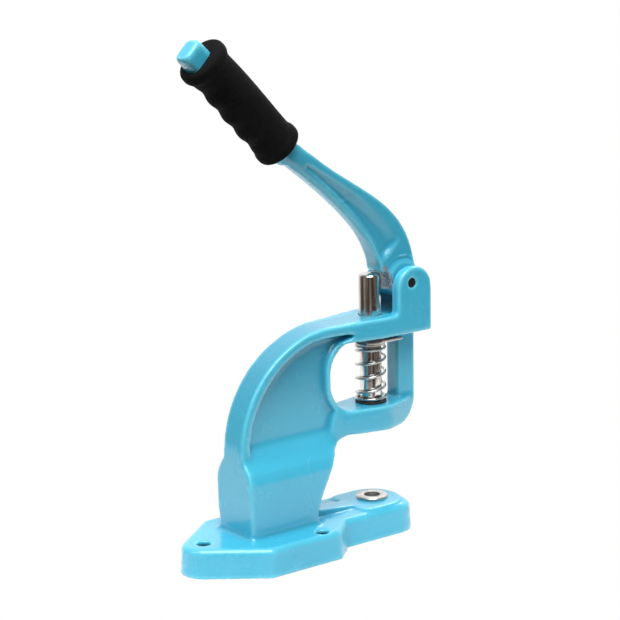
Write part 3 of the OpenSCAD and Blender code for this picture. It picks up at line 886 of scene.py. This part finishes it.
# Turned, stamped and moulded pieces: part, piece name, body, material, slot, edge width
easedSettings = [
    ("ram", "chromeRam", "ram", chromeSteel, "chrome_steel", 0.00045),
    ("die_socket", "dieSocket", "frame", groundSteel, "ground_steel", 0.00035),
    ("die_socket_screw", "dieSocketScrew", "frame", blackOxide, "black_oxide", 0.00015),
    ("lower_guide_bush", "lowerGuideBush", "frame", bronze, "bronze", 0.0003),
    ("upper_guide_bush", "upperGuideBush", "frame", bronze, "bronze", 0.0003),
    ("spring_seat_washer", "springSeat", "frame", blackRubber, "black_rubber", 0.0004),
    ("pivot_pin", "pivotPin", "frame", blackOxide, "black_oxide", 0.0008),
    ("pin_set_screw", "pinSetScrew", "frame", blackOxide, "black_oxide", 0.00015),
    ("ram_die_screw", "ramDieScrew", "ram", blackOxide, "black_oxide", 0.00015),
    ("guide_fork", "guideFork", "ram", groundSteel, "ground_steel", 0.0002),
    ("spring_top_washer", "springTopWasher", "ram", groundSteel, "ground_steel", 0.00025),
    ("stop_buffer", "stopBuffer", "ram", blackRubber, "black_rubber", 0.0006),
    ("lever_bush", "leverBush", "lever", bronze, "bronze", 0.0003),
]
for node, pieceName, body, material, slotName, edgeWidth in easedSettings:
    piece = copyPart(node, pieceName)
    easeEdges(piece, edgeWidth)
    fit(piece, body, material, slotName, node)
    print(pieceName + ":", len(piece.data.polygons), "faces")

# Lights: name, place, aim, power, size. Two narrow strips behind draw crisp lines along the edges
stageSettings = {
    "floorRadius": 0.66,
    "floorTone": (0.9, 0.9, 0.9, 1),
    "floorPlace": (0.30, 0.27, 0),
    "backStrength": 1.1,
    "roomStrength": 0.05,
    "clutterStrength": 0.42,
    "backSide": (0.62, 0.78, 0.05),
    "backTone": (1, 1, 1, 1),
    "roomTone": (1.0, 0.8, 0.66, 1),
    "lights": [
        ("softbox", (-0.45, -0.5, 1.55), (-0.05, 0, 0.1), 38.5, (1.3, 1.3)),
        ("sideFill", (-1.5, 0.25, 1.35), (-0.05, 0, 0.12), 5.5, (0.4, 0.8)),
        ("upperStrip", (0.93, 0.62, 1.10), (-0.05, 0, 0.05), 2.2, (0.5, 0.03)),
        ("lowerStrip", (0.97, 0.75, 0.90), (-0.05, 0, 0.05), 1.6, (0.5, 0.02)),
    ],
}

deselectAll()
bpy.ops.mesh.primitive_circle_add(vertices=96, radius=stageSettings["floorRadius"], fill_type="NGON",
                                  location=stageSettings["floorPlace"])
floor = bpy.context.object
floor.name = "floor"
floorMaterial = bpy.data.materials.new("floorPaper")
floorMaterial.use_nodes = True
floorTree = floorMaterial.node_tree
paper = floorTree.nodes["Principled BSDF"]
paper.inputs["Base Color"].default_value = stageSettings["floorTone"]
paper.inputs["Roughness"].default_value = 0.9
# The camera sees the floor plain white, while it still lights and mirrors as paper
seen = addNode(floorTree, "ShaderNodeLightPath")
glow = addNode(floorTree, "ShaderNodeEmission", {"Strength": 1.0})
either = addNode(floorTree, "ShaderNodeMixShader")
floorTree.links.new(seen.outputs["Is Camera Ray"], either.inputs["Fac"])
floorTree.links.new(paper.outputs["BSDF"], either.inputs[1])
floorTree.links.new(glow.outputs["Emission"], either.inputs[2])
floorTree.links.new(either.outputs["Shader"], floorTree.nodes["Material Output"].inputs["Surface"])
floor.data.materials.append(floorMaterial)

# A bright backdrop on one side, and a dim, warm and uneven room on the other
world = bpy.data.worlds.new("studio")
bpy.context.scene.world = world
world.use_nodes = True
sky = world.node_tree
rays = addNode(sky, "ShaderNodeLightPath")
heading = addNode(sky, "ShaderNodeTexCoord")
facing = addNode(sky, "ShaderNodeVectorMath", operation="DOT_PRODUCT")
facing.inputs[1].default_value = stageSettings["backSide"]
facingSpread = addNode(sky, "ShaderNodeMapRange", {
    "From Min": 0.12, "From Max": 0.62,
    "To Min": stageSettings["roomStrength"], "To Max": stageSettings["backStrength"],
})
clutter = addNode(sky, "ShaderNodeTexNoise", {"Scale": 2.3, "Detail": 2.0})
clutterSpread = addNode(sky, "ShaderNodeMapRange", {
    "From Min": 0.42, "From Max": 0.68,
    "To Max": stageSettings["clutterStrength"],
})
brighter = addNode(sky, "ShaderNodeMath", operation="MAXIMUM")
roomTone = addNode(sky, "ShaderNodeMix", {
    "A": stageSettings["roomTone"],
    "B": stageSettings["backTone"],
}, data_type="RGBA")
roomLight = addNode(sky, "ShaderNodeBackground")
shown = addNode(sky, "ShaderNodeMixShader")
backdrop = sky.nodes["Background"]
backdrop.inputs["Color"].default_value = (1, 1, 1, 1)
backdrop.inputs["Strength"].default_value = 1.0
sky.links.new(heading.outputs["Generated"], clutter.inputs["Vector"])
sky.links.new(clutter.outputs["Fac"], clutterSpread.inputs["Value"])
sky.links.new(heading.outputs["Generated"], facing.inputs[0])
sky.links.new(facing.outputs["Value"], facingSpread.inputs["Value"])
sky.links.new(clutterSpread.outputs["Result"], brighter.inputs[0])
sky.links.new(facingSpread.outputs["Result"], brighter.inputs[1])
sky.links.new(brighter.outputs["Value"], roomLight.inputs["Strength"])
sky.links.new(facingSpread.outputs["Result"], roomTone.inputs["Factor"])
sky.links.new(roomTone.outputs["Result"], roomLight.inputs["Color"])
sky.links.new(rays.outputs["Is Camera Ray"], shown.inputs["Fac"])
sky.links.new(roomLight.outputs["Background"], shown.inputs[1])
sky.links.new(backdrop.outputs["Background"], shown.inputs[2])
sky.links.new(shown.outputs["Shader"], sky.nodes["World Output"].inputs["Surface"])

for lightName, place, aim, power, size in stageSettings["lights"]:
    lightData = bpy.data.lights.new(lightName, "AREA")
    lightData.energy = power
    lightData.shape = "RECTANGLE"
    lightData.size, lightData.size_y = size
    light = bpy.data.objects.new(lightName, lightData)
    bpy.context.scene.collection.objects.link(light)
    light.location = place
    light.rotation_euler = (Vector(aim) - Vector(place)).to_track_quat("-Z", "Y").to_euler()
print("stage set")
